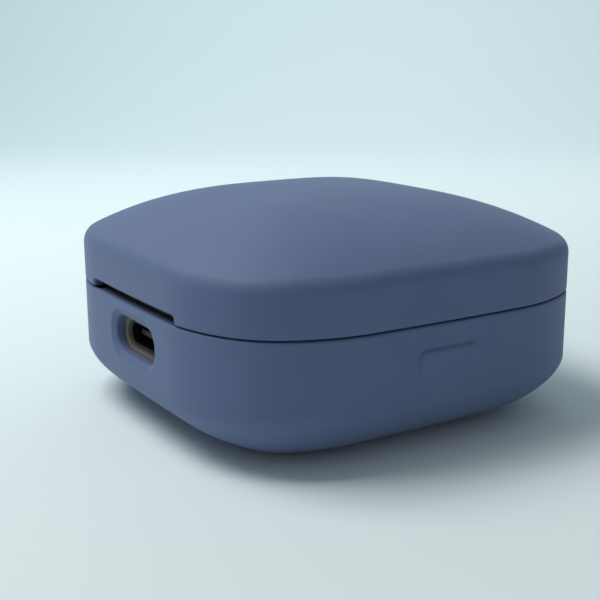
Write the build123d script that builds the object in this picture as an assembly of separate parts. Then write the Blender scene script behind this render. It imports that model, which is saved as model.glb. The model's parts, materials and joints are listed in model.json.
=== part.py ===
"""Charging case for wireless earbuds in a two-piece silicone sleeve. Millimetres.

Origin: centre of the flat underside. +Z is up, the hinge and the charging port face +Y,
the pairing button faces -X.
"""
from build123d import *
import math
import os

# ---------------------------------------------------------------- driving dimensions
HALF_WIDTH = 28.75          # centre to the flat of each side, outside the sleeve
SIDE_RADIUS = 426.0         # the plan is a soft square: long side arcs,
SHOULDER_RADIUS = 22.0      # shoulder arcs
SIDE_ANGLE = 1.483          # and corner arcs that meet at these two angles
SHOULDER_ANGLE = 28.37
SEAM_Z = 16.75              # height of the line where the lid meets the base
SEAM_GAP = 0.2
FOOT_HEIGHT = 7.7           # the rounding under the base: its height,
FOOT_INSET = 11.13          # its inset
FOOT_POWER = 1.6            # and the power of its superellipse
DOME_EDGE_Z = 24.06         # the pillow top starts here, 1.56 inside the wall,
DOME_HALF = 27.19
DOME_RISE = 5.69            # and rises this far at the middle
DOME_POWER = 2.65
DOME_SQUARENESS = 3.63
RIM_RADIUS = 2.26
TRAY_RADIUS = 8.0           # foot rounding inside the hard shell

SLEEVE_WALL = 1.5
FIT_GAP = 0.02              # sleeve to hard shell
SHELL_WALL = 1.4
INNER_DEPTH = SLEEVE_WALL + SHELL_WALL

HINGE_Y = 25.95
HINGE_Z = 20.25
PIN_R = 0.4
RUNNING_GAP = 0.03
KNUCKLE_R = 0.8
LID_KNUCKLE_HALF = 4.6
BASE_KNUCKLE_IN = 4.95
BASE_KNUCKLE_OUT = 7.9
SHEET = 0.5                 # thickness of the hinge's steel sheet
NECK_Y = 21.65              # rear face of the risers is one sheet further back
BASE_LEAF_Z = 14.3
LID_LEAF_Z = 20.55
SWEEP_GAP = 0.12            # relief behind the lid's swinging edge
SWEEP_HALF = 20.6

NOTCH_X = -0.7              # hinge notch in the lid sleeve
NOTCH_LENGTH = 24.5
NOTCH_HEIGHT = 1.1
NOTCH_LEFT = NOTCH_X - NOTCH_LENGTH / 2
NOTCH_RIGHT = NOTCH_X + NOTCH_LENGTH / 2
COVER_TOP = 18.9            # top of the window behind the notch
COVER_THICKNESS = 0.33

PORT_X = -1.1
PORT_Z = 12.3
PORT_LENGTH = 11.8          # opening through the sleeve
PORT_HEIGHT = 4.9
PORT_CORNER = 2.3
PORT_RIM = 0.85             # width of the bevel around it
PORT_RIM_DEPTH = 0.75
USB_WIDTH = 8.94
USB_HEIGHT = 3.26
USB_DEPTH = 7.3
USB_MOUTH_Y = 26.75
USB_SHEET = 0.3

BUTTON_Y = 0.2
BUTTON_Z = 12.15
PAD_LENGTH = 8.8
PAD_HEIGHT = 3.0
PAD_PROUD = 0.4
PAD_BACK_X = -27.7          # where the pad meets the key, clear of the shell by more than the travel
BUTTON_TRAVEL = 0.35
KEY_INNER_X = -25.35
PLUNGER_END_X = -24.2

WELL_X = 11.4
WELL_Y = -2.0
WELL_R = 8.6
WELL_FLOOR = 8.0
CUP_WALL = 1.0
DECK_TOP = 16.2
DECK_THICKNESS = 1.2
DECK_BOTTOM = DECK_TOP - DECK_THICKNESS

FLEX = 0.15                 # thickness of the flexible circuits
FLEX_TOP = WELL_FLOOR - 1.05

LID_SCREW_X = 2.8
LID_SCREW_Y = 21.3
LEAF_SCREW_X = 6.6
LEAF_SCREW_Y = 17.9
LEAF_FRONT_Y = 16.6
DECK_SCREW_X = 19.6
DECK_SCREW_Y = 17.4
BOARD_SCREW_X = 14.6
BOARD_SCREW_Y = 21.2
SCREW_HOLE = 0.66           # radius of a clearance hole
SCREW_PILOT = 0.58          # and of a pilot hole
MAGNET_X = 9.0
MAGNET_Y = -23.2
MAGNET_LOW = 17.4

BOARD_BOTTOM = 9.85
BOARD_THICKNESS = 0.8
BOARD_TOP = BOARD_BOTTOM + BOARD_THICKNESS
BATTERY = (32.0, 24.0, 3.5)
BATTERY_Y = -2.0
TAPE = 0.1
BATTERY_BOTTOM = INNER_DEPTH + TAPE

LID_SLEEVE_BOTTOM = SEAM_Z + SEAM_GAP / 2
LID_SHELL_BOTTOM = LID_SLEEVE_BOTTOM + 0.1
BASE_SLEEVE_TOP = SEAM_Z - SEAM_GAP / 2
BASE_SHELL_TOP = BASE_SLEEVE_TOP - 0.1
SKY = 34.0                  # above everything


# ---------------------------------------------------------------- plan outline
def arc_centres():
    """Centres and radii of the side, shoulder and corner arcs, and their end angles."""
    a, b = math.radians(SIDE_ANGLE), math.radians(SHOULDER_ANGLE)
    side = Vector(HALF_WIDTH - SIDE_RADIUS, 0, 0)
    shoulder = side + Vector(math.cos(a), math.sin(a), 0) * (SIDE_RADIUS - SHOULDER_RADIUS)
    step = (shoulder.Y - shoulder.X) / (math.cos(b) - math.sin(b))
    corner = shoulder + Vector(math.cos(b), math.sin(b), 0) * step
    return [(side, SIDE_RADIUS, -a, a), (shoulder, SHOULDER_RADIUS, a, b),
            (corner, SHOULDER_RADIUS - step, b, math.pi / 2 - b)]


def arc_edge(centre, radius, start, end, z):
    """One arc about a centre, between two angles."""
    angles = [start, (start + end) / 2, end]
    ends = [centre + Vector(radius * math.cos(t), radius * math.sin(t), z) for t in angles]
    return Edge.make_three_point_arc(*ends)


def plan_wire(depth, z):
    """The soft square, set in by depth, at height z."""
    side, shoulder, corner = arc_centres()
    centre, radius, start, end = shoulder
    mirrored = (Vector(centre.Y, centre.X, 0), radius, math.pi / 2 - end, math.pi / 2 - start)
    quarter = [side, shoulder, corner, mirrored]
    edges = []
    for turn in range(4):
        for centre, radius, start, end in quarter:
            edge = arc_edge(centre, radius - depth, start, end, z)
            edges.append(edge.rotate(Axis.Z, 90 * turn))
    return Wire(edges)


def side_y(x):
    """Distance of the outside of the rear wall from the middle, at a given x."""
    side, shoulder, corner = arc_centres()
    for centre, radius, start, end in (side, shoulder, corner):
        across = abs(x) - centre.Y
        height = math.sqrt(radius * radius - across * across)
        if abs(math.atan2(across, height)) <= end + 1e-6:
            return centre.X + height
    return 0.0


def prism(depth, low, high):
    """Straight-walled soft square between two heights."""
    return Solid.extrude(Face(plan_wire(depth, low)), Vector(0, 0, high - low))


# ---------------------------------------------------------------- nested bodies
def base_forms(depth, top):
    """The base's form, set in by depth all over: rounded foot, and straight walls."""
    wires = []
    steps = 10
    for i in range(steps + 1):
        t = math.pi / 2 * (1 - i / steps)
        across, up = max(math.cos(t), 0.0), math.sin(t)
        normal = Vector(across ** 0.75 / FOOT_INSET, 0, up ** 0.75 / FOOT_HEIGHT).normalized()
        inset = FOOT_INSET * (1 - across ** (2 / FOOT_POWER)) + depth * normal.X
        z = FOOT_HEIGHT * (1 - up ** (2 / FOOT_POWER)) + depth * normal.Z
        wires.append(plan_wire(inset, z))
    return [Solid.make_loft(wires), prism(depth, FOOT_HEIGHT, top)]


def base_body(depth, top):
    """The base's form as one solid."""
    foot, walls = base_forms(depth, top)
    return foot.fuse(walls)


def tray_form(depth, top):
    """Simpler form for the inside of the hard shell: straight walls and a round foot."""
    walls = prism(depth, depth, top)
    floor_edges = walls.edges().group_by(Axis.Z)[0]
    return walls.fillet(TRAY_RADIUS, floor_edges)


def dome_z(x, y):
    """Height of the pillow top over a point of the plan."""
    n = DOME_SQUARENESS
    scaled = (abs(x) ** n + abs(y) ** n) ** (1 / n) / DOME_HALF
    return DOME_EDGE_Z + DOME_RISE * (1 - scaled ** DOME_POWER)


def under_dome(depth):
    """Everything below the pillow top, lowered by depth."""
    steps, reach = 24, 31.0
    marks = [reach * (2 * i / steps - 1) for i in range(steps + 1)]
    grid = [[(x, y, dome_z(x, y) - depth) for y in marks] for x in marks]
    top = Face.make_surface_from_array_of_points(grid, tol=0.01, min_deg=3, max_deg=5)
    return Solid.extrude(top, Vector(0, 0, -20))


def lid_body(depth, bottom):
    """The lid's form, set in by depth: straight walls, soft rim, pillow top."""
    body = under_dome(depth).intersect(prism(depth, bottom, SKY))
    body = body.solid()
    radius = max(RIM_RADIUS - depth, 0.3)
    rim = [e for e in body.edges() if e.center().Z > SEAM_Z + 2 and is_rim(e)]
    return body.fillet(radius, rim)


def is_rim(edge):
    """True for the edges that run around the top, not up the walls."""
    return abs(edge.tangent_at(0.5).Z) < 0.5


def at(x, y, z):
    return Location((x, y, z))


def block(x, y, z):
    """Box from three (low, high) pairs."""
    size = [high - low for low, high in (x, y, z)]
    middle = [(low + high) / 2 for low, high in (x, y, z)]
    return Solid.make_box(*size).moved(at(*[m - s / 2 for m, s in zip(middle, size)]))


def post(x, y, radius, low, high):
    """Upright cylinder."""
    return Solid.make_cylinder(radius, high - low).moved(at(x, y, low))


def rod_x(y, z, radius, low, high):
    """Cylinder along X."""
    plane = Plane(origin=(low, y, z), x_dir=(0, 1, 0), z_dir=(1, 0, 0))
    return Solid.make_cylinder(radius, high - low, plane)


def round_bar(plane, width, height, corner, length):
    """Rounded rectangle extruded from a plane along its normal."""
    return extrude(plane * RectangleRounded(width, height, corner), length).solid()


def rear_plane(x, z, y):
    """Plane facing +Y whose local x is the object's -X."""
    return Plane(origin=(x, y, z), x_dir=(-1, 0, 0), z_dir=(0, 1, 0))


def left_plane(y, z, x):
    """Plane facing -X."""
    return Plane(origin=(x, y, z), x_dir=(0, -1, 0), z_dir=(-1, 0, 0))


def cut(body, *tools):
    """Body less each tool, as one solid."""
    return body.cut(*tools).solid()


def join(body, *others):
    return body.fuse(*others).solid()


def screw(x, y, z, down, length, head_r=1.1, head=0.5, shank_r=0.56):
    """Small cross-head screw. The head's bearing face is at z; the shank goes along down."""
    shank = Solid.make_cylinder(shank_r, length)
    cap = fillet(Solid.make_cylinder(head_r, head).moved(at(0, 0, -head)).edges().sort_by(Axis.Z)[0], 0.15)
    slots = [Solid.make_box(1.3, 0.3, 0.25).moved(at(-0.65, -0.15, -head)),
             Solid.make_box(0.3, 1.3, 0.25).moved(at(-0.15, -0.65, -head))]
    body = join(cap.solid(), shank)
    body = cut(body, *slots)
    if down:
        body = body.rotate(Axis.X, 180)
    return body.moved(at(x, y, z))


def group(solids):
    """Several equal pieces in one node."""
    return Compound(children=list(solids))


# ---------------------------------------------------------------- relief behind the hinge
def sweep_between(low, high):
    """Turned space that the lid's rear lower edge passes through as it swings."""
    drop = HINGE_Z - LID_SLEEVE_BOTTOM
    marks = [low + (high - low) * i / 6 for i in range(7)]
    rims = []
    for x in marks:
        reach = max(side_y(x) - HINGE_Y, 0.0)
        rims.append(Vector(x, HINGE_Y, HINGE_Z - math.hypot(reach, drop) - SWEEP_GAP))
    first, last = Vector(rims[0].X, HINGE_Y, HINGE_Z), Vector(rims[-1].X, HINGE_Y, HINGE_Z)
    edges = [Edge.make_line(first, rims[0]), Edge.make_spline(rims), Edge.make_line(rims[-1], last),
             Edge.make_line(last, first)]
    axis = Axis((0, HINGE_Y, HINGE_Z), (1, 0, 0))
    return Solid.revolve(Face(Wire(edges)), 360, axis)


def lid_sweep():
    """Relief on both sides of the notch, where the lid's edge comes down to the seam."""
    left = sweep_between(-SWEEP_HALF, NOTCH_LEFT + SWEEP_GAP)
    right = sweep_between(NOTCH_RIGHT - SWEEP_GAP, SWEEP_HALF)
    return [left, right]


# ---------------------------------------------------------------- silicone sleeve
def lid_sleeve():
    body = cut(lid_body(0, LID_SLEEVE_BOTTOM), lid_body(SLEEVE_WALL - FIT_GAP, SEAM_Z - 5), adhesive_form())
    lift = NOTCH_HEIGHT + 1.0
    plane = rear_plane(NOTCH_X, LID_SLEEVE_BOTTOM + NOTCH_HEIGHT - lift / 2, HINGE_Y - 2)
    return cut(body, round_bar(plane, NOTCH_LENGTH, lift, 0.5, 6))


def adhesive_form():
    """Thin sheet that follows the inside of the lid sleeve."""
    depth = SLEEVE_WALL - FIT_GAP - TAPE
    column = extrude(Plane.XY * RectangleRounded(30, 30, 6), SKY).solid()
    return column.intersect(under_dome(depth)).solid().cut(under_dome(depth + TAPE)).solid()


def port_cutter():
    """Bevelled opening for the charging plug: a funnel that narrows to a straight hole."""
    outer = side_y(PORT_X) + 0.05
    straight = round_bar(rear_plane(PORT_X, PORT_Z, HINGE_Y - 2), PORT_LENGTH, PORT_HEIGHT, PORT_CORNER, 8)
    wide = rear_plane(PORT_X, PORT_Z, outer) * RectangleRounded(
        PORT_LENGTH + 2 * PORT_RIM, PORT_HEIGHT + 2 * PORT_RIM, PORT_CORNER + PORT_RIM)
    narrow = rear_plane(PORT_X, PORT_Z, outer - PORT_RIM_DEPTH) * RectangleRounded(
        PORT_LENGTH, PORT_HEIGHT, PORT_CORNER)
    funnel = loft([narrow.face(), wide.face()]).solid()
    return straight.fuse(funnel).solid()


def base_sleeve():
    body = cut(base_body(0, BASE_SLEEVE_TOP), *base_forms(SLEEVE_WALL - FIT_GAP, SKY))
    window = round_bar(left_plane(BUTTON_Y, BUTTON_Z, KEY_INNER_X), PAD_LENGTH + 0.24,
                       PAD_HEIGHT + 0.24, 1.12, 6)
    return cut(body, port_cutter(), window, *lid_sweep())


def sleeve_button_pad():
    thickness = PAD_BACK_X + HALF_WIDTH + PAD_PROUD
    pad = round_bar(left_plane(BUTTON_Y, BUTTON_Z, PAD_BACK_X), PAD_LENGTH, PAD_HEIGHT, 1.0, thickness)
    outer = pad.faces().sort_by(Axis.X)[0]
    return pad.fillet(0.25, outer.edges())


# ---------------------------------------------------------------- hard shells
def hinge_pocket():
    """Room in the lid for the knuckles, closed by a thin skin behind them."""
    half = BASE_KNUCKLE_OUT + 0.4
    return block((-half, half), (18, HINGE_Y + KNUCKLE_R + 0.05), (SEAM_Z - 1, HINGE_Z + KNUCKLE_R + 0.25))


def cover_window():
    across = (NOTCH_LEFT - 0.3, NOTCH_RIGHT + 0.3)
    return block(across, (HINGE_Y - 1.5, HALF_WIDTH + 1), (LID_SHELL_BOTTOM - 1, COVER_TOP))


def boss_in(body_form, x, y, radius, low, high):
    """Post that ends on the inside of a shell."""
    return post(x, y, radius, low, high).intersect(body_form).solid()


def lid_shell():
    outer = lid_body(SLEEVE_WALL, LID_SHELL_BOTTOM)
    body = cut(outer, lid_body(INNER_DEPTH, SEAM_Z - 5))
    inner_form = lid_body(INNER_DEPTH - 0.7, LID_SHELL_BOTTOM)
    bosses = [boss_in(inner_form, x, LID_SCREW_Y, 1.3, LID_LEAF_Z + SHEET, SKY) for x in lid_screw_places()]
    body = cut(join(body, *bosses), hinge_pocket(), cover_window())
    pilots = [post(x, LID_SCREW_Y, SCREW_PILOT, LID_LEAF_Z, LID_LEAF_Z + 2.4) for x in lid_screw_places()]
    return cut(body, *pilots)


def lid_liner():
    """Moulded liner of the lid, open at the hinge, with two pockets for the magnets."""
    depth = INNER_DEPTH + 0.05
    bottom = LID_SHELL_BOTTOM + 0.1
    body = cut(lid_body(depth, bottom), lid_body(depth + 1.2, SEAM_Z - 5))
    rear = block((-24, 24), (15.0, 30), (SEAM_Z - 2, SKY))
    pads = [block((x - 4, x + 4), (-25.5, -21.5), (bottom, 20.2)) for x in (-MAGNET_X, MAGNET_X)]
    form = lid_body(depth, bottom)
    body = join(body, *[pad.intersect(form).solid() for pad in pads])
    return cut(body, rear, *[magnet_block(x, MAGNET_Y, MAGNET_LOW, 1.7) for x in (-MAGNET_X, MAGNET_X)])


def magnet_block(x, y, low, height):
    return block((x - 2.5, x + 2.5), (y - 1, y + 1), (low, low + height))


def hinge_cover():
    """Dark strip in the lid that shows through the notch of the sleeve."""
    low, high = LID_SHELL_BOTTOM + 0.05, COVER_TOP - FIT_GAP
    outer = SLEEVE_WALL + FIT_GAP
    ring = cut(prism(outer, low, high), prism(outer + COVER_THICKNESS, low - 1, high + 1))
    across = (NOTCH_LEFT - 0.25, NOTCH_RIGHT + 0.25)
    return ring.intersect(block(across, (HINGE_Y - 2, HALF_WIDTH), (low, high))).solid()


def base_shell():
    body = cut(base_body(SLEEVE_WALL, BASE_SHELL_TOP), tray_form(INNER_DEPTH, SKY))
    form = tray_form(INNER_DEPTH - 0.6, BASE_SHELL_TOP)
    bosses = [boss_in(form, x, y, 1.8, 2, DECK_BOTTOM) for x, y in deck_screw_places()]
    bosses += [boss_in(form, x, y, 1.5, 2, BOARD_BOTTOM) for x, y in board_screw_places()]
    bosses += [block((-26.5, -21.7), (y - 0.5, y + 0.5), (8.6, 14.8)) for y in rib_places()]
    body = join(body, *bosses)
    holes = [post(x, y, SCREW_PILOT, DECK_BOTTOM - 3, DECK_BOTTOM + 1) for x, y in deck_screw_places()]
    holes += [post(x, y, SCREW_PILOT, BOARD_BOTTOM - 3, BOARD_BOTTOM + 1) for x, y in board_screw_places()]
    port = round_bar(rear_plane(PORT_X, PORT_Z, 24), USB_WIDTH + 0.3, USB_HEIGHT + 0.3, 1.77, 6)
    key = round_bar(left_plane(BUTTON_Y, BUTTON_Z, -24.5), 7.2, 2.4, 1.1, 6)
    return cut(body, port, key, *lid_sweep(), *holes)


def rib_places():
    """Ribs on both sides of the button's board."""
    return [BUTTON_Y - 5.5, BUTTON_Y + 5.5]


def lid_screw_places():
    return [-LID_SCREW_X, LID_SCREW_X]


def leaf_screw_places():
    return [(-LEAF_SCREW_X, LEAF_SCREW_Y), (LEAF_SCREW_X, LEAF_SCREW_Y)]


def deck_screw_places():
    return [(-DECK_SCREW_X, DECK_SCREW_Y), (DECK_SCREW_X, DECK_SCREW_Y)]


def board_screw_places():
    return [(-BOARD_SCREW_X, BOARD_SCREW_Y), (BOARD_SCREW_X, BOARD_SCREW_Y)]


def cradle():
    """Deck with a cup for each earbud."""
    body = prism(INNER_DEPTH + 0.05, DECK_BOTTOM, DECK_TOP)
    cups = [post(x, WELL_Y, WELL_R + CUP_WALL, WELL_FLOOR - CUP_WALL, DECK_BOTTOM) for x in (-WELL_X, WELL_X)]
    body = join(body, *cups)
    wells = [well_form(x) for x in (-WELL_X, WELL_X)]
    neck_slot = (NECK_Y - 0.15, NECK_Y + SHEET + 0.15)
    risers = [block((x - 1.6, x + 1.6), neck_slot, (DECK_BOTTOM - 1, DECK_TOP + 1)) for x in neck_places()]
    screw_holes = [post(x, y, SCREW_HOLE, DECK_BOTTOM - 1, DECK_TOP + 1) for x, y in deck_screw_places()]
    screw_holes += [post(x, y, 1.25, DECK_TOP - 0.5, DECK_TOP + 1) for x, y in deck_screw_places()]
    screw_holes += [post(x, y, SCREW_PILOT, DECK_BOTTOM - 1, DECK_TOP - 0.2) for x, y in leaf_screw_places()]
    pins = [post(x, y, 0.62, WELL_FLOOR - 2, WELL_FLOOR + 1) for x, y in pin_places()]
    light = post(0, 12.6, 0.9, DECK_BOTTOM - 1, DECK_TOP + 1)
    return cut(body, *wells, *risers, *screw_holes, *pins, light, *lid_sweep())


def well_form(x):
    """Rounded socket for one earbud."""
    form = post(x, WELL_Y, WELL_R, WELL_FLOOR, DECK_TOP + 2)
    form = form.fillet(2.4, [form.edges().sort_by(Axis.Z)[0]])
    return form


def neck_places():
    middle = (BASE_KNUCKLE_IN + BASE_KNUCKLE_OUT) / 2
    return [-middle, middle]


def pin_places():
    return [(side * WELL_X + x, WELL_Y - 2.0) for side in (-1, 1) for x in (-1.6, 1.6)]


# ---------------------------------------------------------------- hinge
def hinge_pin():
    pin = rod_x(HINGE_Y, HINGE_Z, PIN_R, -BASE_KNUCKLE_OUT, BASE_KNUCKLE_OUT)
    return pin.chamfer(0.12, None, pin.edges().filter_by(GeomType.CIRCLE))


def hinge_washers():
    gap = BASE_KNUCKLE_IN - LID_KNUCKLE_HALF
    rings = []
    for side in (-1, 1):
        middle = side * (LID_KNUCKLE_HALF + gap / 2)
        ring = rod_x(HINGE_Y, HINGE_Z, KNUCKLE_R, middle - 0.145, middle + 0.145)
        rings.append(cut(ring, rod_x(HINGE_Y, HINGE_Z, PIN_R + 0.01, middle - 1, middle + 1)))
    return group(rings)


def hinge_lid_bracket():
    """Barrel on the pin with a leaf screwed under the lid's ceiling."""
    half = LID_KNUCKLE_HALF
    barrel = rod_x(HINGE_Y, HINGE_Z, KNUCKLE_R, -half, half)
    leaf = block((-half, half), (19.4, HINGE_Y), (LID_LEAF_Z - 0.25, LID_LEAF_Z + SHEET - 0.25))
    step = block((-half, half), (19.4, 23.4), (LID_LEAF_Z, LID_LEAF_Z + SHEET))
    leaf = cut(leaf, block((-half, half), (19.0, 23.0), (LID_LEAF_Z - 1, LID_LEAF_Z)))
    bore = rod_x(HINGE_Y, HINGE_Z, PIN_R, -half - 1, half + 1)
    holes = [post(x, LID_SCREW_Y, SCREW_HOLE, LID_LEAF_Z - 1, LID_LEAF_Z + 2) for x in lid_screw_places()]
    return cut(join(barrel, leaf, step), bore, *holes)


def hinge_base_bracket():
    """Leaf under the deck with two swan necks that carry the pin."""
    half = BASE_KNUCKLE_OUT
    leaf = block((-half, half), (LEAF_FRONT_Y, NECK_Y + SHEET), (BASE_LEAF_Z, BASE_LEAF_Z + SHEET))
    parts = []
    for x in neck_places():
        across = (x - 1.475, x + 1.475)
        parts.append(block(across, (NECK_Y, NECK_Y + SHEET), (BASE_LEAF_Z, HINGE_Z + SHEET)))
        parts.append(block(across, (NECK_Y, HINGE_Y), (HINGE_Z - 0.05, HINGE_Z + SHEET)))
        parts.append(rod_x(HINGE_Y, HINGE_Z, KNUCKLE_R, *across))
    body = join(leaf, *parts)
    bore = rod_x(HINGE_Y, HINGE_Z, PIN_R + RUNNING_GAP, -10, 10)
    holes = [post(x, y, SCREW_HOLE, BASE_LEAF_Z - 1, BASE_LEAF_Z + 1) for x, y in leaf_screw_places()]
    return cut(body, bore, *holes)


# ---------------------------------------------------------------- fasteners and magnets
def hinge_lid_screws():
    return group(screw(x, LID_SCREW_Y, LID_LEAF_Z, False, 2.2) for x in lid_screw_places())


def hinge_base_screws():
    return group(screw(x, y, BASE_LEAF_Z, False, 1.6) for x, y in leaf_screw_places())


def cradle_screws():
    return group(screw(x, y, DECK_TOP - 0.5, True, 3.4, head=0.45) for x, y in deck_screw_places())


def board_screws():
    return group(screw(x, y, BOARD_TOP, True, 3.2) for x, y in board_screw_places())


def lid_magnets():
    return group(magnet_block(x, MAGNET_Y, MAGNET_LOW, 1.7) for x in (-MAGNET_X, MAGNET_X))


def closure_magnets():
    return group(magnet_block(x, MAGNET_Y, DECK_BOTTOM - 1.8, 1.8) for x in (-MAGNET_X, MAGNET_X))


def earbud_magnets():
    front = WELL_Y - WELL_R - CUP_WALL
    depth, height = (front - 1.6, front - 0.05), (9.5, 12.5)
    return group(block((x - 2.5, x + 2.5), depth, height) for x in (-WELL_X, WELL_X))


# ---------------------------------------------------------------- electrics
def charging_pins():
    pins = []
    for x, y in pin_places():
        barrel = post(x, y, 0.6, FLEX_TOP, WELL_FLOOR + 0.2)
        pin = join(barrel, post(x, y, 0.4, WELL_FLOOR, WELL_FLOOR + 0.7))
        pins.append(pin.fillet(0.15, [pin.edges().sort_by(Axis.Z)[-1]]))
    return group(pins)


def contact_flex():
    """Thin film under both cups that feeds the pins."""
    height = (FLEX_TOP - FLEX, FLEX_TOP)
    strip = block((-15, 15), (WELL_Y - 3.5, WELL_Y - 0.5), height)
    tail = block((-2, 2), (WELL_Y - 0.5, 14.0), height)
    return join(strip, tail)


def main_board():
    board = block((-17.2, 17.2), (10.2, 24.4), (BOARD_BOTTOM, BOARD_TOP))
    corners = [e for e in board.edges().filter_by(Axis.Z) if e.center().Y > 20]
    board = board.chamfer(2.6, None, corners)
    return cut(board, *[post(x, y, SCREW_HOLE, 5, 15) for x, y in board_screw_places()])


def battery():
    x, y, z = (size / 2 for size in BATTERY)
    cell = block((-x, x), (BATTERY_Y - y, BATTERY_Y + y), (BATTERY_BOTTOM, BATTERY_BOTTOM + 2 * z))
    return cell.fillet(1.2, cell.edges().filter_by(Axis.Y))


def battery_tape():
    return block((-10, 10), (BATTERY_Y - 8, BATTERY_Y + 8), (INNER_DEPTH, BATTERY_BOTTOM))


def battery_connector():
    return block((7.4, 11.8), (12.2, 15.2), (BOARD_BOTTOM - 1.3, BOARD_BOTTOM))


def battery_lead(x):
    """Insulated wire from the cell's rear end up to the connector."""
    start_y = BATTERY_Y + BATTERY[1] / 2
    path = FilletPolyline((x, start_y, 5.0), (x, 13.7, 5.0), (x, 13.7, BOARD_BOTTOM - 1.3), radius=1.5)
    section = Plane(origin=(x, start_y, 5.0), z_dir=(0, 1, 0)) * Circle(0.4)
    return sweep(section, path=path).solid()


def chip(x, y, width, length, height):
    across, along = (x - width / 2, x + width / 2), (y - length / 2, y + length / 2)
    body = block(across, along, (BOARD_TOP, BOARD_TOP + height))
    return body.chamfer(0.15, None, body.faces().sort_by(Axis.Z)[-1].edges())


def passives():
    """Row of small capacitors and resistors along the front of the board."""
    return group(chip(-13.5 + 1.8 * i, 11.6, 1.0, 0.6, 0.5) for i in range(6))


def status_led():
    return chip(0, 12.6, 1.6, 1.6, 0.7)


def light_pipe():
    low = BOARD_TOP + 0.75
    pipe = post(0, 12.6, 0.85, low, DECK_TOP)
    return join(pipe, post(0, 12.6, 1.3, DECK_BOTTOM - 0.6, DECK_BOTTOM))


def usb_shell():
    """Rounded steel tube of the charging port, closed at the inner end."""
    inner_end = USB_MOUTH_Y - USB_DEPTH
    tube = round_bar(rear_plane(PORT_X, PORT_Z, inner_end), USB_WIDTH, USB_HEIGHT, 1.6, USB_DEPTH)
    hollow = round_bar(rear_plane(PORT_X, PORT_Z, inner_end + 0.8), USB_WIDTH - 2 * USB_SHEET,
                       USB_HEIGHT - 2 * USB_SHEET, 1.3, USB_DEPTH)
    return cut(tube, hollow)


def usb_tongue():
    inner = USB_MOUTH_Y - USB_DEPTH + 0.8
    return block((PORT_X - 3.35, PORT_X + 3.35), (inner, USB_MOUTH_Y - 0.9), (PORT_Z - 0.35, PORT_Z + 0.35))


def usb_contacts():
    strips = []
    for i in range(8):
        x = PORT_X - 2.45 + 0.7 * i
        for low in (PORT_Z - 0.43, PORT_Z + 0.35):
            strips.append(block((x - 0.14, x + 0.14), (20.6, USB_MOUTH_Y - 1.4), (low, low + 0.08)))
    return group(strips)


# ---------------------------------------------------------------- pairing button
def pairing_button():
    """Hard key in the shell wall, kept in by a flange."""
    plane = left_plane(BUTTON_Y, BUTTON_Z, KEY_INNER_X)
    key = round_bar(plane, 7.0, 2.2, 1.0, KEY_INNER_X - PAD_BACK_X)
    flange = round_bar(plane, 8.2, 3.2, 1.2, 0.4)
    return join(key, flange)


def switch_plunger():
    return rod_x(BUTTON_Y, BUTTON_Z, 0.8, KEY_INNER_X, PLUNGER_END_X)


def tact_switch_body():
    body = block((-24.8, -22.6), (BUTTON_Y - 2.2, BUTTON_Y + 2.2), (BUTTON_Z - 1.7, BUTTON_Z + 1.7))
    return cut(body, rod_x(BUTTON_Y, BUTTON_Z, 0.9, KEY_INNER_X, PLUNGER_END_X + BUTTON_TRAVEL + 0.2))


def button_board():
    return block((-22.6, -22.0), (BUTTON_Y - 5.0, BUTTON_Y + 5.0), (9.6, 14.7))


def button_flex():
    """Film from the button's board to the main board."""
    up = block((-22.6, -22.45), (BUTTON_Y + 1, BUTTON_Y + 4), (8.4, 9.6))
    along = block((-22.6, -22.45), (BUTTON_Y + 1, 11.5), (8.25, 8.4))
    across = block((-22.6, -16.0), (10.6, 13.6), (8.25, 8.4))
    return join(up, block((-22.6, -21.0), (BUTTON_Y + 1, 13.6), (8.25, 8.4)), along, across)


NODES = {
    "lid_sleeve": lid_sleeve,
    "lid_adhesive_pad": adhesive_form,
    "base_sleeve": base_sleeve,
    "sleeve_button_pad": sleeve_button_pad,
    "lid_shell": lid_shell,
    "lid_liner": lid_liner,
    "lid_magnets": lid_magnets,
    "hinge_cover": hinge_cover,
    "hinge_pin": hinge_pin,
    "hinge_washers": hinge_washers,
    "hinge_lid_bracket": hinge_lid_bracket,
    "hinge_lid_screws": hinge_lid_screws,
    "hinge_base_bracket": hinge_base_bracket,
    "hinge_base_screws": hinge_base_screws,
    "base_shell": base_shell,
    "cradle": cradle,
    "cradle_screws": cradle_screws,
    "closure_magnets": closure_magnets,
    "earbud_magnets": earbud_magnets,
    "charging_pins": charging_pins,
    "contact_flex": contact_flex,
    "main_board": main_board,
    "board_screws": board_screws,
    "battery": battery,
    "battery_tape": battery_tape,
    "battery_connector": battery_connector,
    "battery_lead_red": lambda: battery_lead(8.6),
    "battery_lead_black": lambda: battery_lead(10.6),
    "charge_chip": lambda: chip(-9.0, 15.5, 3.0, 3.0, 0.8),
    "controller_chip": lambda: chip(8.5, 15.5, 5.0, 5.0, 0.85),
    "hall_sensor": lambda: chip(14.2, 13.0, 1.6, 2.8, 0.9),
    "passives": passives,
    "status_led": status_led,
    "light_pipe": light_pipe,
    "usb_shell": usb_shell,
    "usb_tongue": usb_tongue,
    "usb_contacts": usb_contacts,
    "pairing_button": pairing_button,
    "switch_plunger": switch_plunger,
    "tact_switch_body": tact_switch_body,
    "button_board": button_board,
    "button_flex": button_flex,
}


os.makedirs("parts", exist_ok=True)
for name, make in NODES.items():
    shape = make()
    shape.label = name
    export_step(shape, f"parts/{name}.step")
    print(name, round(shape.volume, 2))
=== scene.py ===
import bmesh
import bpy
import json
import math
from mathutils import Matrix, Vector


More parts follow.
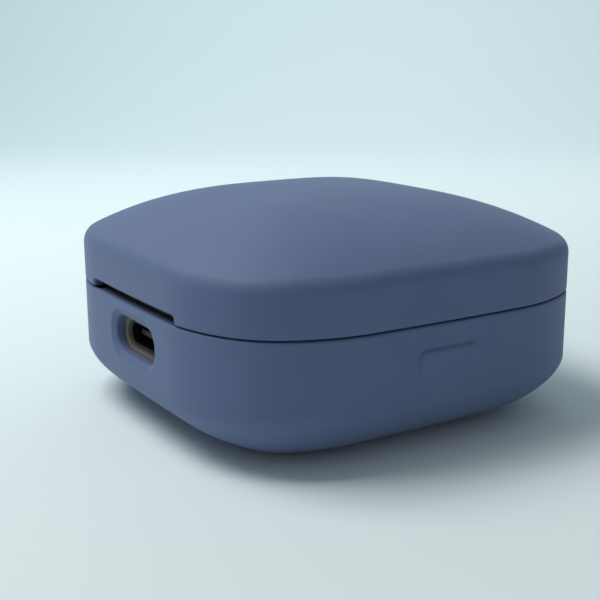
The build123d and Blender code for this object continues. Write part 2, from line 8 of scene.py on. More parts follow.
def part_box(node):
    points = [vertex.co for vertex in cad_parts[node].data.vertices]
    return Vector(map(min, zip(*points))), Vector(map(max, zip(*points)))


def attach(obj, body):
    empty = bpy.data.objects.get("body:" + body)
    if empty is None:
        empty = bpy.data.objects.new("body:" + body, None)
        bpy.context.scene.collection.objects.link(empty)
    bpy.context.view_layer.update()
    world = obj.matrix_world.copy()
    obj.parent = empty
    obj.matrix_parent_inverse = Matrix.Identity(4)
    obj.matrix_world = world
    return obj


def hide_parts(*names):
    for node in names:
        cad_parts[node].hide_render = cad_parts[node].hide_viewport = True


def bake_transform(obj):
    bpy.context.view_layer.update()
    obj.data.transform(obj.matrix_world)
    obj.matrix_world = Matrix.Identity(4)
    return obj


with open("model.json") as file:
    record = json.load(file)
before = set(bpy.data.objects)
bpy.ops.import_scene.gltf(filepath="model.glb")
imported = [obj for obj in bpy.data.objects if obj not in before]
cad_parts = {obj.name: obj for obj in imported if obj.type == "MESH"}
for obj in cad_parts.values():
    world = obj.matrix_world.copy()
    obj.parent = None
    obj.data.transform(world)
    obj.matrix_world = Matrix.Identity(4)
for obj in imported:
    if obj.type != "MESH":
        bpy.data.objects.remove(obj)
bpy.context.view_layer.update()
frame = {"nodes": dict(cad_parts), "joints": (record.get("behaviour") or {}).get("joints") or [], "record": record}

# The sleeve's lengths are in millimetres up to Skin.object(), which makes them metres.
# The camera, the lights and the backdrop are in metres.
MM = 0.001
HALF_WIDTH = 28.75
SIDE_RADIUS, SHOULDER_RADIUS = 426.0, 22.0
SIDE_ANGLE, SHOULDER_ANGLE = math.radians(1.483), math.radians(28.37)
FOOT_HEIGHT, FOOT_INSET, FOOT_POWER = 7.7, 11.13, 1.6
DOME_EDGE_Z, DOME_HALF, DOME_RISE = 24.06, 27.19, 5.69
DOME_POWER, DOME_SQUARENESS = 2.65, 3.63
RIM_RADIUS, RIM_STEPS = 2.26, 9
SKIN = 1.48                      # thickness of the silicone
LIP = 0.28                       # rounding of the silicone's free edges
LID_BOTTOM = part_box("lid_sleeve")[0][2] / MM
BASE_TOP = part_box("base_sleeve")[1][2] / MM
HINGE = next(j for j in frame["joints"] if j["name"] == "lid_hinge")
HINGE_Y, HINGE_Z = HINGE["pos_m"][1] / MM, HINGE["pos_m"][2] / MM
SWEEP_GAP = 0.06                 # between the base's rim and the lid's swinging edge
SWEEP_OVERLAP = 0.6              # how far the hollow of the rim reaches in past the notch's end

NOTCH_X, NOTCH_LENGTH, NOTCH_HEIGHT = -0.7, 24.5, 1.1
NOTCH_INNER, NOTCH_OUTER = 0.5, 0.22          # corner radii of the notch
NOTCH_REACH = 2.2                # finer columns this far to both sides of the notch's end
PORT_X, PORT_Z = -1.1, 12.3
PORT_LENGTH, PORT_HEIGHT, PORT_CORNER = 11.8, 4.9, 2.3
PAD = [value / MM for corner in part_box("sleeve_button_pad") for value in corner]
PAD_Y, PAD_Z = (PAD[1] + PAD[4]) / 2, (PAD[2] + PAD[5]) / 2
PAD_LENGTH, PAD_HEIGHT, PAD_CORNER = PAD[4] - PAD[1], PAD[5] - PAD[2], 1.0
PAD_PROUD = -HALF_WIDTH - PAD[0]
PATCH_MARGIN = 0.55              # skin round the pad that belongs to the patch
PATCH_BACK = 0.9                 # depth of the back of the patch
CAMERA_AZIMUTH = math.radians(238.04)


# ------------------------------------------------------------------ camera
def camera():
    """Looks at the hinge side and the button side, from a little above."""
    azimuth, elevation, roll = CAMERA_AZIMUTH, math.radians(13.61), math.radians(-0.23)
    distance, aside, height = 0.14984, -0.00259, 0.0135
    back = Vector((math.sin(azimuth) * math.cos(elevation), -math.cos(azimuth) * math.cos(elevation),
                   math.sin(elevation)))
    right = (-back).cross(Vector((0, 0, 1))).normalized()
    up = right.cross(-back)
    aim = right * aside + Vector((0, 0, height))
    turned_right = right * math.cos(roll) + up * math.sin(roll)
    turned_up = up * math.cos(roll) - right * math.sin(roll)
    data = bpy.data.cameras.new("camera")
    data.lens, data.sensor_width = 64.03, 36.0
    data.clip_start, data.clip_end = 0.01, 10.0
    eye = bpy.data.objects.new("camera", data)
    eye.matrix_world = Matrix.Translation(aim + back * distance) @ Matrix(
        (turned_right, turned_up, back)).transposed().to_4x4()
    bpy.context.collection.objects.link(eye)
    bpy.context.scene.camera = eye


camera()


# ------------------------------------------------------------------ materials
def principled(name):
    material = bpy.data.materials.new(name)
    material.use_nodes = True
    nodes, links = material.node_tree.nodes, material.node_tree.links
    return material, nodes, links, nodes["Principled BSDF"]


def coords(nodes, links, scale=1.0, stretch=(1, 1, 1)):
    """Object coordinates in metres, stretched."""
    source = nodes.new("ShaderNodeTexCoord")
    mapping = nodes.new("ShaderNodeMapping")
    mapping.inputs["Scale"].default_value = [scale * s for s in stretch]
    links.new(source.outputs["Object"], mapping.inputs["Vector"])
    return mapping.outputs["Vector"]


def noise(nodes, links, vector, scale, detail=3.0, roughness=0.5):
    node = nodes.new("ShaderNodeTexNoise")
    node.inputs["Scale"].default_value = scale
    node.inputs["Detail"].default_value = detail
    node.inputs["Roughness"].default_value = roughness
    links.new(vector, node.inputs["Vector"])
    return node.outputs["Fac"]


def ramp(nodes, links, factor, low, high, start=0.35, stop=0.65):
    """Blends between two colours as factor goes from start to stop."""
    node = nodes.new("ShaderNodeValToRGB")
    first, last = node.color_ramp.elements
    first.position, last.position = start, stop
    first.color, last.color = (*low, 1), (*high, 1)
    links.new(factor, node.inputs["Fac"])
    return node.outputs["Color"]


def vary(nodes, links, factor, low, high):
    """Maps a factor to a range of numbers."""
    node = nodes.new("ShaderNodeMapRange")
    node.inputs["To Min"].default_value, node.inputs["To Max"].default_value = low, high
    links.new(factor, node.inputs["Value"])
    return node.outputs["Result"]


def bump(nodes, links, shader, height, distance, strength=1.0):
    node = nodes.new("ShaderNodeBump")
    node.inputs["Distance"].default_value = distance
    node.inputs["Strength"].default_value = strength
    links.new(height, node.inputs["Height"])
    links.new(node.outputs["Normal"], shader.inputs["Normal"])


def shade(colour, factor):
    return tuple(c * factor for c in colour)


def silicone():
    """Soft-touch navy silicone: matt, with a very fine grain and a faint bloom."""
    material, nodes, links, shader = principled("silicone")
    where = coords(nodes, links)
    mottle = noise(nodes, links, where, 90.0, 4.0, 0.6)
    navy = ramp(nodes, links, mottle, (0.096, 0.139, 0.266), (0.106, 0.152, 0.286))
    links.new(navy, shader.inputs["Base Color"])
    links.new(vary(nodes, links, mottle, 0.56, 0.66), shader.inputs["Roughness"])
    shader.inputs["Specular IOR Level"].default_value = 0.35
    shader.inputs["Sheen Weight"].default_value = 0.12
    shader.inputs["Sheen Roughness"].default_value = 0.5
    shader.inputs["Sheen Tint"].default_value = (0.75, 0.82, 1.0, 1)
    bump(nodes, links, shader, noise(nodes, links, where, 9000.0, 2.0), 0.000012, 0.35)
    return material


def plastic(name, colour, roughness, grain=4000.0, depth=0.00001, mottling=0.06):
    """Moulded plastic with a fine spark-eroded grain."""
    material, nodes, links, shader = principled(name)
    where = coords(nodes, links)
    mottle = noise(nodes, links, where, 140.0, 4.0)
    tone = ramp(nodes, links, mottle, shade(colour, 1 - mottling), shade(colour, 1 + mottling))
    links.new(tone, shader.inputs["Base Color"])
    links.new(vary(nodes, links, mottle, roughness - 0.05, roughness + 0.05), shader.inputs["Roughness"])
    shader.inputs["Specular IOR Level"].default_value = 0.5
    bump(nodes, links, shader, noise(nodes, links, where, grain, 2.0), depth, 0.4)
    return material


def metal(name, colour, roughness, stretch=(1, 1, 1), grain=1500.0):
    """Metal with a directional brushed or a fine ground finish."""
    material, nodes, links, shader = principled(name)
    where = coords(nodes, links, 1.0, stretch)
    lines = noise(nodes, links, where, grain, 5.0, 0.7)
    tone = ramp(nodes, links, lines, shade(colour, 0.86), shade(colour, 1.08))
    links.new(tone, shader.inputs["Base Color"])
    links.new(vary(nodes, links, lines, roughness - 0.08, roughness + 0.1), shader.inputs["Roughness"])
    shader.inputs["Metallic"].default_value = 1.0
    bump(nodes, links, shader, lines, 0.00001, 0.3)
    return material


def battery_foil():
    """Aluminium pouch foil with soft creases."""
    material, nodes, links, shader = principled("battery_foil")
    where = coords(nodes, links)
    creases = noise(nodes, links, where, 260.0, 5.0, 0.65)
    silver = ramp(nodes, links, creases, (0.50, 0.51, 0.53), (0.68, 0.69, 0.71))
    links.new(silver, shader.inputs["Base Color"])
    links.new(vary(nodes, links, creases, 0.25, 0.45), shader.inputs["Roughness"])
    shader.inputs["Metallic"].default_value = 0.9
    bump(nodes, links, shader, creases, 0.0001, 0.5)
    return material


def circuit_board():
    """Solder mask over a fine woven laminate."""
    material, nodes, links, shader = principled("circuit_board")
    where = coords(nodes, links)
    weave = nodes.new("ShaderNodeTexBrick")
    weave.inputs["Scale"].default_value = 1400.0
    weave.inputs["Color1"].default_value = (0.016, 0.110, 0.050, 1)
    weave.inputs["Color2"].default_value = (0.020, 0.130, 0.058, 1)
    weave.inputs["Mortar"].default_value = (0.012, 0.085, 0.040, 1)
    links.new(where, weave.inputs["Vector"])
    links.new(weave.outputs["Color"], shader.inputs["Base Color"])
    links.new(vary(nodes, links, noise(nodes, links, where, 300.0), 0.28, 0.42), shader.inputs["Roughness"])
    bump(nodes, links, shader, weave.outputs["Fac"], 0.00001, 0.3)
    return material


def clear_plastic():
    """Light pipe: clear acrylic with faint flow lines."""
    material, nodes, links, shader = principled("clear_plastic")
    flow = noise(nodes, links, coords(nodes, links), 500.0, 3.0)
    links.new(ramp(nodes, links, flow, (0.80, 0.84, 0.86), (0.92, 0.94, 0.95)), shader.inputs["Base Color"])
    links.new(vary(nodes, links, flow, 0.08, 0.16), shader.inputs["Roughness"])
    shader.inputs["Transmission Weight"].default_value = 0.7
    shader.inputs["IOR"].default_value = 1.49
    return material


SILICONE = silicone()
MATERIALS = {
    "silicone": SILICONE,
    "adhesive": plastic("adhesive", (0.66, 0.66, 0.62), 0.5),
    "case_plastic": plastic("case_plastic", (0.150, 0.138, 0.113), 0.5),
    "liner_plastic": plastic("liner_plastic", (0.045, 0.045, 0.048), 0.34, grain=2500.0, depth=0.000006),
    "magnet": metal("magnet", (0.62, 0.62, 0.63), 0.22, grain=600.0),
    # partly painted shade: this near black is the dark hinge cover, and it also stands for the shadow seen in the
    # lid's notch
    "dark_plastic": plastic("dark_plastic", (0.022, 0.026, 0.036), 0.48),
    "steel": metal("steel", (0.56, 0.57, 0.58), 0.30, (1, 0.06, 1)),
    # painted shade: the charging port's steel shell is coloured a dark brown-black to stand for the shade inside
    # the port's recess
    "port_steel": metal("port_steel", (0.050, 0.046, 0.040), 0.42, (1, 0.06, 1)),
    "screw_steel": metal("screw_steel", (0.42, 0.43, 0.45), 0.32, (1, 1, 0.2)),
    "gold": metal("gold", (0.86, 0.60, 0.24), 0.22, (1, 0.1, 1)),
    "flex_film": plastic("flex_film", (0.36, 0.15, 0.035), 0.28, depth=0.000004, mottling=0.12),
    "circuit_board": circuit_board(),
    "battery_foil": battery_foil(),
    "connector_plastic": plastic("connector_plastic", (0.68, 0.64, 0.54), 0.42),
    "red_insulation": plastic("red_insulation", (0.46, 0.02, 0.015), 0.38),
    "black_insulation": plastic("black_insulation", (0.014, 0.014, 0.015), 0.4, mottling=0.2),
    "chip_epoxy": plastic("chip_epoxy", (0.022, 0.022, 0.025), 0.55, mottling=0.15),
    "ceramic_parts": plastic("ceramic_parts", (0.36, 0.24, 0.14), 0.5, mottling=0.25),
    "led_body": plastic("led_body", (0.85, 0.80, 0.55), 0.2),
    "clear_plastic": clear_plastic(),
    "button_plastic": plastic("button_plastic", (0.12, 0.12, 0.115), 0.45),
}


def dress_frame():
    """Gives every CAD node its material."""
    for entry in frame["record"]["subparts"]:
        thing = frame["nodes"][entry["node"]]
        thing.data.materials.clear()
        thing.data.materials.append(MATERIALS[entry["material_slot"]])


dress_frame()


# ------------------------------------------------------------------ the soft square plan
def quarter_arcs():
    """Centre x and y, radius and the two end angles of the arcs of the +X quarter."""
    a, b = SIDE_ANGLE, SHOULDER_ANGLE
    side_x = HALF_WIDTH - SIDE_RADIUS
    reach = SIDE_RADIUS - SHOULDER_RADIUS
    x, y = side_x + reach * math.cos(a), reach * math.sin(a)
    step = (y - x) / (math.cos(b) - math.sin(b))
    corner = x + step * math.cos(b)
    right = math.pi / 2
    return [(side_x, 0.0, SIDE_RADIUS, 0.0, a),
            (x, y, SHOULDER_RADIUS, a, b),
            (corner, corner, SHOULDER_RADIUS - step, b, right - b),
            (y, x, SHOULDER_RADIUS, right - b, right - a),
            (0.0, side_x, SIDE_RADIUS, right - a, right)]


ARCS = quarter_arcs()
QUARTER = sum(radius * (end - start) for _, _, radius, start, end in ARCS)
PERIMETER = 4 * QUARTER
REAR, LEFT = QUARTER, 2 * QUARTER        # arc length at the middle of the +Y and the -X side


def frame_at(s):
    """Arc centre, radius and angle at arc length s, counted from the middle of the +X side."""
    turn, rest = divmod(s % PERIMETER, QUARTER)
    for x, y, radius, start, end in ARCS:
        length = radius * (end - start)
        if rest <= length or (x, y) == ARCS[-1][:2]:
            break
        rest -= length
    angle = start + rest / radius
    quarter_turn = Matrix.Rotation(turn * math.pi / 2, 2)
    return quarter_turn @ Vector((x, y)), radius, angle + turn * math.pi / 2


def point(s, depth, z):
    """A point at arc length s, depth inside the outer wall, at height z."""
    centre, radius, angle = frame_at(s)
    reach = radius - depth
    return Vector((centre.x + reach * math.cos(angle), centre.y + reach * math.sin(angle), z))


def dome_z(x, y):
    n = DOME_SQUARENESS
    scaled = (abs(x) ** n + abs(y) ** n) ** (1 / n) / DOME_HALF
    return DOME_EDGE_Z + DOME_RISE * (1 - scaled ** DOME_POWER)


def rim(s, drop, radius):
    """The rim round at s, on a top lowered by drop: start height, and its (depth, z) points."""
    def height(depth):
        where = point(s, drop + depth, 0)
        return dome_z(where.x, where.y) - drop
    nudge = 0.01
    meet = radius * 0.5
    for _ in range(12):      # settles where the round meets the top
        slope = (height(meet + nudge) - height(meet - nudge)) / (2 * nudge)
        size = math.hypot(1, slope)
        meet = radius * (1 - slope / size)
    centre_z = height(meet) - radius / size
    end = math.atan2(1 / size, slope / size)
    return [(drop + radius * (1 - math.cos(t)), centre_z + radius * math.sin(t))
            for t in spread(0, end, RIM_STEPS)]


# ------------------------------------------------------------------ mesh helpers
class Skin:
    """Gathers points and faces, then makes one smooth mesh."""

    def __init__(self):
        self.points, self.faces = [], []

    def add(self, where):
        self.points.append(where)
        return len(self.points) - 1

    def row(self, places):
        return [self.add(p) for p in places]

    def strip(self, a, b, closed=True):
        """Quads between two rows."""
        count = len(a)
        for i in range(count if closed else count - 1):
            j = (i + 1) % count
            self.faces.append((a[i], a[j], b[j], b[i]))

    def cap(self, row, where):
        """Fan from a row to one middle point."""
        middle = self.add(where)
        for i, start in enumerate(row):
            self.faces.append((start, row[(i + 1) % len(row)], middle))

    def object(self, name, material):
        mesh = bpy.data.meshes.new(name)
        mesh.from_pydata([p * MM for p in self.points], [], self.faces)
        mesh.validate()
        thing = bpy.data.objects.new(name, mesh)
        bpy.context.collection.objects.link(thing)
        face_outward(mesh)
        mesh.shade_smooth()
        mesh.set_sharp_from_angle(angle=math.radians(40))
        mesh.materials.append(material)
        return thing


def face_outward(mesh):
    """Turns every face the same way, outward."""
    work = bmesh.new()
    work.from_mesh(mesh)
    bmesh.ops.remove_doubles(work, verts=work.verts, dist=1e-8)
    bmesh.ops.recalc_face_normals(work, faces=work.faces)
    work.to_mesh(mesh)
    work.free()


def spread(start, stop, count):
    return [start + (stop - start) * i / count for i in range(count + 1)]


def rounded_ring(width, height, corner, across, up, spot):
    """Points round a rounded rectangle: across of them on each level side, up on each upright one."""
    share = 0.26         # of a side's points, on each half corner
    ring = []
    sides = [(width, across, 0), (height, up, 1), (width, across, 2), (height, up, 3)]
    for length, count, side in sides:
        other = height if side % 2 == 0 else width
        straight = length - 2 * corner
        for i in range(count):
            ring.append(side_point(i / count, share, straight, corner, other, side))
    return [spot(u, v) for u, v in ring]


def side_point(f, share, straight, corner, other, side):
    """Point at fraction f along one side, from corner middle to corner middle."""
    if f < share:
        angle = math.pi / 4 * (1 - f / share)
        u, v = -straight / 2 - corner * math.sin(angle), -other / 2 + corner * (1 - math.cos(angle))
    elif f > 1 - share:
        angle = math.pi / 4 * (f - 1 + share) / share
        u, v = straight / 2 + corner * math.sin(angle), -other / 2 + corner * (1 - math.cos(angle))
    else:
        u, v = straight * ((f - share) / (1 - 2 * share) - 0.5), -other / 2
    for _ in range(side):
        u, v = -v, u
    return u, v


# ------------------------------------------------------------------ lid sleeve
def notch_end(end, high):
    """(s, z, direction into the material) round one end of the notch."""
    corner_s, corner_z = end - NOTCH_INNER, high - NOTCH_INNER
    low_s, low_z = end + NOTCH_OUTER, LID_BOTTOM + NOTCH_OUTER
    path = [(s, high, (0, 1)) for s in spread(end - NOTCH_REACH, corner_s, 4)[1:-1]]
    for t in spread(math.pi / 2, 0, 8):
        way = (math.cos(t), math.sin(t))
        path.append((corner_s + NOTCH_INNER * way[0], corner_z + NOTCH_INNER * way[1], way))
    path += [(end, z, (1, 0)) for z in spread(corner_z, low_z, 3)[1:-1]]
    for t in spread(0, math.pi / 2, 5):
        way = (math.cos(t), math.sin(t))
        path.append((low_s - NOTCH_OUTER * way[0], low_z - NOTCH_OUTER * way[1], way))
    return path + [(s, LID_BOTTOM, (0, 1)) for s in spread(low_s, end + NOTCH_REACH, 4)[1:-1]]


def notch_columns():
    """(s at the edge, z at the edge, direction into the material, s higher up), round the plan."""
    middle = REAR - NOTCH_X
    end, high = middle + NOTCH_LENGTH / 2, LID_BOTTOM + NOTCH_HEIGHT
    path = notch_end(end, high)
    tops = spread(end - NOTCH_REACH, end + NOTCH_REACH, len(path) + 1)[1:-1]
    columns = [(s, high, (0, 1), s) for s in spread(middle, end - NOTCH_REACH, 10)]
    columns += [(s, z, way, top) for (s, z, way), top in zip(path, tops)]
    plain = spread(end + NOTCH_REACH, middle + PERIMETER / 2, 130)
    columns += [(s, LID_BOTTOM, (0, 1), s) for s in plain]
    mirrored = [(2 * middle - s, z, (-way[0], way[1]), 2 * middle - top)
                for s, z, way, top in reversed(columns[1:-1])]
    return columns + mirrored


def lid_wall(skin, bottom, tops, side):
    """One wall of the lid with its top, from just above the free edge. Returns its first row."""
    arcs = [rim(top, side, RIM_RADIUS - side) for top in tops]
    rows = []
    for f in (0.0, 0.06, 0.14, 0.26, 0.4, 0.55, 0.7, 0.85):
        ring = []
        for (s, z, way), top, arc in zip(bottom, tops, arcs):
            start_s, start_z = s + way[0] * LIP, z + way[1] * LIP
            ring.append(point(start_s + (top - start_s) * f, side, start_z + (arc[0][1] - start_z) * f))
        rows.append(skin.row(ring))
    for i in range(RIM_STEPS + 1):
        rows.append(skin.row([point(top, *arc[i]) for top, arc in zip(tops, arcs)]))
    for a, b in zip(rows, rows[1:]):
        skin.strip(a, b)
    lid_top(skin, rows[-1], side)
    return rows[0]


def lid_top(skin, last, side, steps=44):
    """Closes the pillow top inside the last row."""
    edge = [skin.points[i].copy() for i in last]
    for k in range(1, steps):
        scale = math.cos(math.pi / 2 * k / steps)
        spots = [(p.x * scale, p.y * scale) for p in edge]
        ring = skin.row([Vector((x, y, dome_z(x, y) - side)) for x, y in spots])
        skin.strip(last, ring)
        last = ring
    skin.cap(last, Vector((0, 0, dome_z(0, 0) - side)))


def lid_sleeve():
    skin = Skin()
    columns = notch_columns()
    bottom = [(s, z, way) for s, z, way, _ in columns]
    tops = [top for _, _, _, top in columns]
    outer, inner = [lid_wall(skin, bottom, tops, side) for side in (0.0, SKIN)]
    # the free edge: out of the outer wall, across and into the inner wall
    lip = [(LIP * (1 - math.cos(t)), LIP * (1 - math.sin(t))) for t in spread(0, math.pi / 2, 4)[1:]]
    lip += [(SKIN - depth, into) for depth, into in reversed(lip)]
    last = outer
    for depth, into in lip:
        ring = skin.row([point(s + way[0] * into, depth, z + way[1] * into) for s, z, way in bottom])
        skin.strip(last, ring)
        last = ring
    skin.strip(last, inner)
    piece = skin.object("lid_sleeve_skin", SILICONE)
    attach(piece, "lid")
    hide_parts("lid_sleeve")


lid_sleeve()


# ------------------------------------------------------------------ base sleeve
PORT_S, PAD_S = REAR - PORT_X, LEFT - PAD_Y
WALL_LOW, ROW_STEP, WALL_STEPS = 8.4, 0.35, 23
WALL_ROWS = [FOOT_HEIGHT + 0.01] + [WALL_LOW + ROW_STEP * k for k in range(WALL_STEPS)]
COLUMN_STEP = 0.7
# middle, half length, columns across, and the first and last row of each window
WINDOWS = {
    "port": {"s": PORT_S, "half": 8.0, "count": 36, "rows": (1, WALL_STEPS)},
    "pad": {"s": PAD_S, "half": 5.8, "count": 32, "rows": (4, 20)},
}


def base_columns():
    """Arc lengths round the plan, with a column at each end of both windows."""
    port, pad = WINDOWS["port"], WINDOWS["pad"]
    port_start, port_end = PORT_S - port["half"], PORT_S + port["half"]
    pad_start, pad_end = PAD_S - pad["half"], PAD_S + pad["half"]
    marks = spread(port_start, port_end, port["count"])[:-1]
    marks += plain_columns(port_end, pad_start)
    port["first"], pad["first"] = 0, len(marks)
    marks += spread(pad_start, pad_end, pad["count"])[:-1]
    return marks + plain_columns(pad_end, port_start + PERIMETER)


def plain_columns(start, stop):
    """Even arc lengths between two windows, without the last."""
    count = round((stop - start) / COLUMN_STEP)
    return spread(start, stop, count)[:-1]


def foot_profile(depth, count=26):
    """(depth, z) points of the rounded foot, from the flat underside up to the wall."""
    points = []
    curve = 2 / FOOT_POWER
    for i in range(count + 1):
        t = math.pi / 2 * (1 - i / count)
        across, up = max(math.cos(t), 0.0), math.sin(t)
        normal = Vector((across ** (2 - curve) / FOOT_INSET, up ** (2 - curve) / FOOT_HEIGHT)).normalized()
        inset = FOOT_INSET * (1 - across ** curve) + depth * normal.x
        points.append((inset, FOOT_HEIGHT * (1 - up ** curve) + depth * normal.y))
    return points


def under_sweep(where):
    """Lowers a point of the rear rim, beside the notch, out of the lid's swinging edge."""
    if abs(where.x - NOTCH_X) < NOTCH_LENGTH / 2 - SWEEP_OVERLAP:
        return where
    reach = max(rear_y(where.x) - HINGE_Y - LIP, 0.0)
    radius = math.hypot(reach, HINGE_Z - LID_BOTTOM - LIP) + LIP + SWEEP_GAP
    across = abs(where.y - HINGE_Y)
    if where.y < 0 or across >= radius:
        return where
    limit = HINGE_Z - math.sqrt(radius * radius - across * across)
    return Vector((where.x, where.y, min(where.z, limit)))


def rear_y(x):
    """Outer wall of the rear side at x."""
    for cx, cy, radius, start, end in ARCS[2:]:
        across = abs(x) - cx
        if abs(across) < radius and start - 1e-6 <= math.acos(across / radius) <= end + 1e-6:
            return cy + math.sqrt(radius ** 2 - across ** 2)
    return 0.0


def window_rings(skin, grid, window, rings, depth):
    """Fills one window of the wall's grid with rings that close on an opening."""
    first, count = window["first"], window["count"]
    low, high = window["rows"]
    up = high - low
    width = len(grid[0])
    edge = [grid[low][(first + i) % width] for i in range(count)]
    edge += [grid[low + j][(first + count) % width] for j in range(up)]
    edge += [grid[high][(first + count - i) % width] for i in range(count)]
    edge += [grid[high - j][first] for j in range(up)]
    last = edge
    for ring_width, ring_height, corner, ring_depth, middle in rings:
        ring = skin.row(rounded_ring(ring_width, ring_height, corner, count, up,
                                     lambda u, v: point(window["s"] + u, depth + ring_depth, middle + v)))
        skin.strip(last, ring)
        last = ring
    return last


def in_window(i, j, width):
    for window in WINDOWS.values():
        low, high = window["rows"]
        if low <= j < high and 0 <= (i - window["first"]) % width < window["count"]:
            return True
    return False


def outline(grow, depth, size, middle):
    """One ring of an opening, grown all round."""
    width, height, corner = size
    return (width + 2 * grow, height + 2 * grow, corner + grow, depth, middle)


def base_foot(skin, marks, side):
    """Flat underside and rounded foot of one wall. Returns its upper row."""
    foot = foot_profile(side)
    flat_z = foot[0][1]
    rows = [skin.row([point(s, depth, z) for s in marks]) for depth, z in foot]
    for a, b in zip(rows, rows[1:]):
        skin.strip(a, b)
    edge = [skin.points[i].copy() for i in rows[0]]
    last = rows[0]
    for scale in (0.93, 0.8, 0.6, 0.4, 0.2, 0.07):
        ring = skin.row([Vector((p.x * scale, p.y * scale, flat_z)) for p in edge])
        skin.strip(last, ring)
        last = ring
    skin.cap(last, Vector((0, 0, flat_z)))
    return rows[-1]


def base_wall(skin, marks, side):
    """One wall of the base with its foot, open at both windows. Returns the wall's rows."""
    foot_top = base_foot(skin, marks, side)
    grid = [skin.row([point(s, side, z) for s in marks]) for z in WALL_ROWS]
    skin.strip(foot_top, grid[0])
    width = len(marks)
    for j, (a, b) in enumerate(zip(grid, grid[1:])):
        for i in range(width):
            if not in_window(i, j, width):
                k = (i + 1) % width
                skin.faces.append((a[i], a[k], b[k], b[i]))
    return grid


def base_sleeve():
    skin = Skin()
    marks = base_columns()
    grids = {side: base_wall(skin, marks, side) for side in (0.0, SKIN)}
    top_lip(skin, marks, grids)
    port_opening(skin, grids)
    pad_opening(skin, grids)
    piece = skin.object("base_sleeve_skin", SILICONE)
    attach(piece, "base")
    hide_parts("base_sleeve")


def top_lip(skin, marks, grids):
    """The free upper edge, hollowed beside the notch for the lid's swinging edge."""
    arc = [(LIP * (1 - math.cos(t)), BASE_TOP - LIP * (1 - math.sin(t))) for t in spread(0, math.pi / 2, 4)]
    flat = [(d, BASE_TOP) for d in spread(LIP, SKIN - LIP, 6)[1:-1]]
    inner = [(SKIN - d, z) for d, z in reversed(arc)]
    last, end = grids[0.0][-1], grids[SKIN][-1]
    for depth, z in arc + flat + inner:
        ring = skin.row([under_sweep(point(s, depth, z)) for s in marks])
        skin.strip(last, ring)
        last = ring
    skin.strip(last, end)
    for i in end:
        skin.points[i] = under_sweep(skin.points[i])


def port_opening(skin, grids):
    """Soft step, slope and straight throat of the charging port's opening."""
    size, middle = (PORT_LENGTH, PORT_HEIGHT, PORT_CORNER), PORT_Z
    slope = [(1.2, 0.0), (1.0, 0.0), (0.92, 0.008), (0.84, 0.035), (0.74, 0.08), (0.55, 0.18), (0.3, 0.3),
             (0.17, 0.37), (0.08, 0.44), (0.02, 0.54), (0.0, 0.66), (0.0, 1.0), (0.0, SKIN - 0.02)]
    rings = [outline(grow, depth, size, middle) for grow, depth in slope]
    outer = window_rings(skin, grids[0.0], WINDOWS["port"], rings, 0.0)
    rings = [outline(grow, 0.0, size, middle) for grow in (1.2, 0.3, 0.1)]
    inner = window_rings(skin, grids[SKIN], WINDOWS["port"], rings, SKIN)
    skin.strip(outer, inner)


def pad_opening(skin, grids):
    """Plain window that the button's patch of silicone fills."""
    size = (PAD_LENGTH, PAD_HEIGHT, PAD_CORNER)
    rings = [outline(grow, 0.0, size, PAD_Z) for grow in (1.0, PATCH_MARGIN)]
    outer, inner = [window_rings(skin, grids[side], WINDOWS["pad"], rings, side) for side in (0.0, SKIN)]
    skin.strip(outer, inner)


base_sleeve()


def button_patch():
    """Raised pad with the skin round it, which fills the sleeve's window at the button."""
    skin = Skin()
    window = WINDOWS["pad"]
    size = (PAD_LENGTH, PAD_HEIGHT, PAD_CORNER)
    across, up = window["count"], window["rows"][1] - window["rows"][0]

    def ring(grow, depth):
        width, height, corner, _, middle = outline(grow, depth, size, PAD_Z)
        return skin.row(rounded_ring(width, height, corner, across, up,
                                     lambda u, v: point(PAD_S + u, depth, middle + v)))

    back = [(PATCH_MARGIN, PATCH_BACK), (PATCH_MARGIN, 0.0)]
    slope = [(0.42, 0.0), (0.3, -0.01), (0.2, -0.04), (0.1, -0.11), (0.02, -0.2), (-0.06, -0.29),
             (-0.16, -0.36), (-0.28, -0.393), (-0.42, -PAD_PROUD)]
    rows = [ring(grow, depth) for grow, depth in back + slope]
    for a, b in zip(rows, rows[1:]):
        skin.strip(a, b)
    for row in (rows[0], rows[-1]):
        close_window(skin, row, across, up)
    piece = skin.object("button_patch", SILICONE)
    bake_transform(piece)
    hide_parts("sleeve_button_pad")


def close_window(skin, row, across, up):
    """Grid of quads across a ring whose sides have across and up segments."""
    low = row[:across + 1]
    right = row[across:across + up + 1]
    high = list(reversed(row[across + up:2 * across + up + 1]))
    left = [row[0]] + list(reversed(row[2 * across + up:]))
    last = low
    for j in range(1, up):
        a, b = skin.points[left[j]], skin.points[right[j]]
        line = [left[j]]
        for i in range(1, across):
            f, g = i / across, j / up
            low_p, high_p = skin.points[low[i]], skin.points[high[i]]
            corners = (skin.points[low[0]] * (1 - f) * (1 - g) + skin.points[low[-1]] * f * (1 - g)
                       + skin.points[high[0]] * (1 - f) * g + skin.points[high[-1]] * f * g)
            line.append(skin.add(low_p * (1 - g) + high_p * g + a * (1 - f) + b * f - corners))
        line.append(right[j])
        skin.strip(last, line, closed=False)
        last = line
    skin.strip(last, high, closed=False)


button_patch()


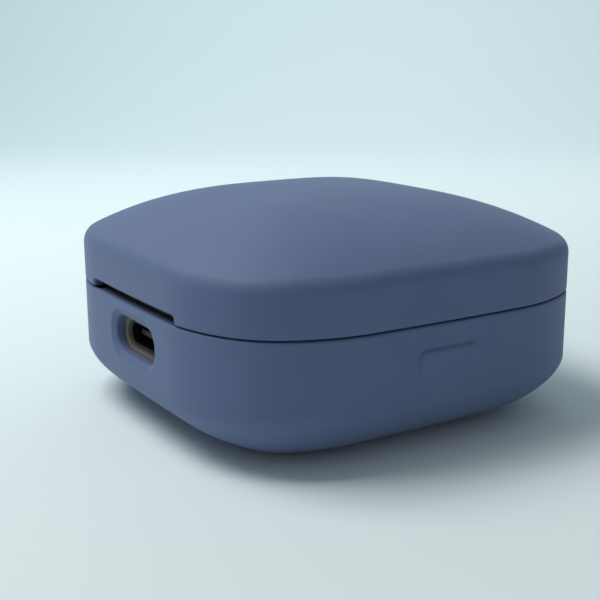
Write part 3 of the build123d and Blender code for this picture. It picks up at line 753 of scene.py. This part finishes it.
# ------------------------------------------------------------------ floor and light
def backdrop():
    """Pale cyan floor that curves up into a wall behind the object; the slanted gradient across it, lighter to one
    side and darker to the other, is painted light falloff.
    """
    skin = Skin()
    front, flat_end, bend, top, half_width = -1.2, 0.35, 0.3, 1.6, 1.6
    curve = [(flat_end + bend * math.sin(t), bend - bend * math.cos(t)) for t in spread(0, math.pi / 2, 16)]
    profile = [(front, 0.0)] + curve + [(flat_end + bend, top)]
    away = Vector((-math.sin(CAMERA_AZIMUTH), math.cos(CAMERA_AZIMUTH), 0))
    along = Vector((away.y, -away.x, 0))
    rows = [skin.row([(away * d + along * w + Vector((0, 0, z))) / MM
                      for w in spread(-half_width, half_width, 4)]) for d, z in profile]
    for a, b in zip(rows, rows[1:]):
        skin.strip(a, b, closed=False)
    material, nodes, links, shader = principled("backdrop")
    # painted light: a slanted gradient from pale to darker cyan stands in for the fall of light across the
    # backdrop
    painted_falloff = nodes.new("ShaderNodeTexGradient")
    slant = nodes.new("ShaderNodeMapping")
    slant.inputs["Rotation"].default_value = (0, 0, math.radians(-20))
    slant.inputs["Location"].default_value = (0.5, 0, 0)
    links.new(coords(nodes, links, 0.9), slant.inputs["Vector"])
    links.new(slant.outputs["Vector"], painted_falloff.inputs["Vector"])
    links.new(ramp(nodes, links, painted_falloff.outputs["Fac"], (0.86, 0.93, 0.94), (0.66, 0.82, 0.85), 0.2, 0.9),
              shader.inputs["Base Color"])
    shader.inputs["Roughness"].default_value = 0.85
    floor = skin.object("floor", material)


def area_light(name, place, target, size, power, colour):
    data = bpy.data.lights.new(name, "AREA")
    data.shape, data.size, data.energy, data.color = "SQUARE", size, power, colour
    lamp = bpy.data.objects.new(name, data)
    lamp.location = place
    lamp.rotation_euler = (Vector(target) - Vector(place)).to_track_quat("-Z", "Y").to_euler()
    bpy.context.collection.objects.link(lamp)


def lighting():
    """A key light high on the hinge side, a light on the wall behind, and an even sky."""
    bpy.context.scene.view_settings.view_transform = "Standard"
    world = bpy.data.worlds.new("studio")
    world.use_nodes = True
    world.node_tree.nodes["Background"].inputs["Color"].default_value = (0.90, 0.95, 1.0, 1)
    world.node_tree.nodes["Background"].inputs["Strength"].default_value = 0.29
    bpy.context.scene.world = world
    area_light("key", (0.10, 0.13, 0.31), (0, 0, 0.015), 0.2, 0.88, (1.0, 0.97, 0.94))
    area_light("wall", (0.21, -0.13, 0.45), (0.56, -0.35, 0.20), 0.5, 1.5, (0.96, 1.0, 1.0))


backdrop()
lighting()
